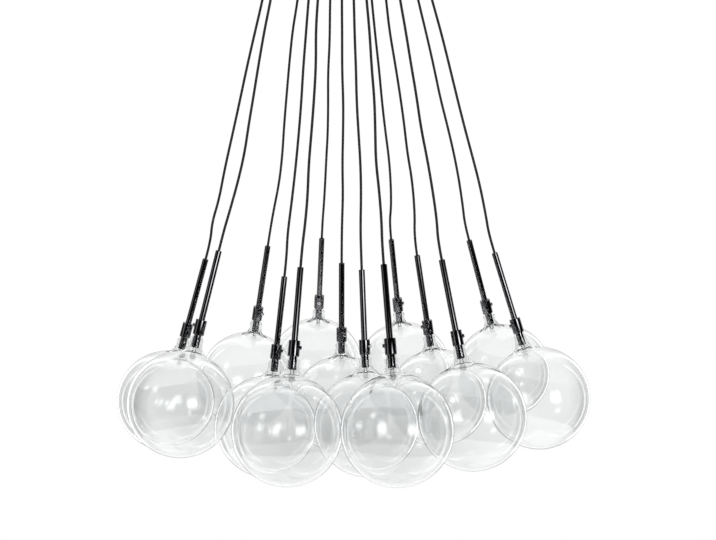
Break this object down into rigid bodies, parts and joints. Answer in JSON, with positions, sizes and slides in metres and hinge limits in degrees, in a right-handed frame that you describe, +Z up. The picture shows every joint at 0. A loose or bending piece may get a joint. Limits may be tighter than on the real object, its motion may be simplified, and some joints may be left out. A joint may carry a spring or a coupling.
{
  "type": "cluster pendant light",
  "caption": "Cluster pendant: clear glass globes on polished black stems and dark cords that fan out from one round ceiling canopy.",
  "frame": {"origin": "centre of the canopy's ceiling face", "axes": "+Z up, out of the ceiling face; -Y towards the viewer of the picture; +X to the picture's right"},
  "size_m": [0.7476, 0.7364, 0.8458],
  "materials": {
    "cord": "matte",
    "black_nickel": "polished",
    "clear_glass": "polished",
    "lamp_glass": "polished",
    "bright_nickel": "polished",
    "plate_steel": "satin",
    "case_plastic": "matte"
  },
  "bodies": {
    "canopy": {"ceiling_plate": "plate_steel", "canopy_cover": "black_nickel", "cover_screws": "bright_nickel", "cord_grips": "black_nickel", "grip_nuts": "bright_nickel", "transformer": "case_plastic", "terminal_block": "case_plastic", "cord_04": "cord", "fitting_04": "black_nickel", "cord_07": "cord", "fitting_07": "black_nickel", "cord_08": "cord", "fitting_08": "black_nickel", "cord_11": "cord", "fitting_11": "black_nickel", "inner_lamps": "lamp_glass"},
    "drop_01": {"cord_01": "cord", "fitting_01": "black_nickel", "lamp_01": "lamp_glass"},
    "shade_01": {"globe_01": "clear_glass"},
    "drop_02": {"cord_02": "cord", "fitting_02": "black_nickel", "lamp_02": "lamp_glass"},
    "shade_02": {"globe_02": "clear_glass"},
    "drop_03": {"cord_03": "cord", "fitting_03": "black_nickel", "lamp_03": "lamp_glass"},
    "shade_03": {"globe_03": "clear_glass"},
    "shade_04": {"globe_04": "clear_glass"},
    "drop_05": {"cord_05": "cord", "fitting_05": "black_nickel", "lamp_05": "lamp_glass"},
    "shade_05": {"globe_05": "clear_glass"},
    "drop_06": {"cord_06": "cord", "fitting_06": "black_nickel", "lamp_06": "lamp_glass"},
    "shade_06": {"globe_06": "clear_glass"},
    "shade_07": {"globe_07": "clear_glass"},
    "shade_08": {"globe_08": "clear_glass"},
    "drop_09": {"cord_09": "cord", "fitting_09": "black_nickel", "lamp_09": "lamp_glass"},
    "shade_09": {"globe_09": "clear_glass"},
    "drop_10": {"cord_10": "cord", "fitting_10": "black_nickel", "lamp_10": "lamp_glass"},
    "shade_10": {"globe_10": "clear_glass"},
    "shade_11": {"globe_11": "clear_glass"},
    "drop_12": {"cord_12": "cord", "fitting_12": "black_nickel", "lamp_12": "lamp_glass"},
    "shade_12": {"globe_12": "clear_glass"},
    "drop_13": {"cord_13": "cord", "fitting_13": "black_nickel", "lamp_13": "lamp_glass"},
    "shade_13": {"globe_13": "clear_glass"},
    "drop_14": {"cord_14": "cord", "fitting_14": "black_nickel", "lamp_14": "lamp_glass"},
    "shade_14": {"globe_14": "clear_glass"}
  },
  "joints": [
    {"name": "swing_01", "type": "hinge", "parent": "canopy", "child": "drop_01", "pos_m": [-0.1155, 0.00858, -0.059], "axis": [0.0872, 0.9962, 0], "range_deg": [0, 30]},
    {"name": "globe_slide_01", "type": "slide", "parent": "drop_01", "child": "shade_01", "axis": [-0.2699, 0.02, -0.9627], "range_m": [0, 0.06]},
    {"name": "swing_02", "type": "hinge", "parent": "canopy", "child": "drop_02", "pos_m": [-0.099, -0.05676, -0.059], "axis": [-0.5, 0.866, 0], "range_deg": [0, 30]},
    {"name": "globe_slide_02", "type": "slide", "parent": "drop_02", "child": "shade_02", "axis": [-0.2368, -0.1357, -0.962], "range_m": [0, 0.06]},
    {"name": "swing_03", "type": "hinge", "parent": "canopy", "child": "drop_03", "pos_m": [-0.06732, 0.07194, -0.059], "axis": [0.7071, 0.7071, 0], "range_deg": [0, 30]},
    {"name": "globe_slide_03", "type": "slide", "parent": "drop_03", "child": "shade_03", "axis": [-0.1602, 0.1712, -0.9721], "range_m": [0, 0.06]},
    {"name": "globe_slide_04", "type": "slide", "parent": "canopy", "child": "shade_04", "axis": [-0.1127, -0.0324, -0.9931], "range_m": [0, 0.06]},
    {"name": "swing_05", "type": "hinge", "parent": "canopy", "child": "drop_05", "pos_m": [-0.03168, -0.09834, -0.059], "axis": [-0.9397, 0.342, 0], "range_deg": [0, 30]},
    {"name": "globe_slide_05", "type": "slide", "parent": "drop_05", "child": "shade_05", "axis": [-0.0749, -0.2325, -0.9697], "range_m": [0, 0.06]},
    {"name": "swing_06", "type": "hinge", "parent": "canopy", "child": "drop_06", "pos_m": [-0.02046, 0.1188, -0.059], "axis": [0.9848, 0.1736, 0], "range_deg": [0, 30]},
    {"name": "globe_slide_06", "type": "slide", "parent": "drop_06", "child": "shade_06", "axis": [-0.0485, 0.2814, -0.9584], "range_m": [0, 0.06]},
    {"name": "globe_slide_07", "type": "slide", "parent": "canopy", "child": "shade_07", "axis": [-0.0031, 0.0861, -0.9963], "range_m": [0, 0.06]},
    {"name": "globe_slide_08", "type": "slide", "parent": "canopy", "child": "shade_08", "axis": [0.0377, -0.0926, -0.995], "range_m": [0, 0.06]},
    {"name": "swing_09", "type": "hinge", "parent": "canopy", "child": "drop_09", "pos_m": [0.03234, -0.11748, -0.059], "axis": [-0.9659, -0.2588, 0], "range_deg": [0, 30]},
    {"name": "globe_slide_09", "type": "slide", "parent": "drop_09", "child": "shade_09", "axis": [0.0763, -0.2772, -0.9578], "range_m": [0, 0.06]},
    {"name": "swing_10", "type": "hinge", "parent": "canopy", "child": "drop_10", "pos_m": [0.0429, 0.09966, -0.059], "axis": [0.9063, -0.4226, 0], "range_deg": [0, 30]},
    {"name": "globe_slide_10", "type": "slide", "parent": "drop_10", "child": "shade_10", "axis": [0.1023, 0.2376, -0.966], "range_m": [0, 0.06]},
    {"name": "globe_slide_11", "type": "slide", "parent": "canopy", "child": "shade_11", "axis": [0.1515, 0.0505, -0.9872], "range_m": [0, 0.06]},
    {"name": "swing_12", "type": "hinge", "parent": "canopy", "child": "drop_12", "pos_m": [0.0792, -0.07062, -0.059], "axis": [-0.6428, -0.766, 0], "range_deg": [0, 30]},
    {"name": "globe_slide_12", "type": "slide", "parent": "drop_12", "child": "shade_12", "axis": [0.1881, -0.1677, -0.9677], "range_m": [0, 0.06]},
    {"name": "swing_13", "type": "hinge", "parent": "canopy", "child": "drop_13", "pos_m": [0.11088, 0.06732, -0.059], "axis": [0.5, -0.866, 0], "range_deg": [0, 30]},
    {"name": "globe_slide_13", "type": "slide", "parent": "drop_13", "child": "shade_13", "axis": [0.2623, 0.1593, -0.9517], "range_m": [0, 0.06]},
    {"name": "swing_14", "type": "hinge", "parent": "canopy", "child": "drop_14", "pos_m": [0.1254, -0.01848, -0.059], "axis": [-0.1736, -0.9848, 0], "range_deg": [0, 30]},
    {"name": "globe_slide_14", "type": "slide", "parent": "drop_14", "child": "shade_14", "axis": [0.2953, -0.0435, -0.9544], "range_m": [0, 0.06]}
  ]
}
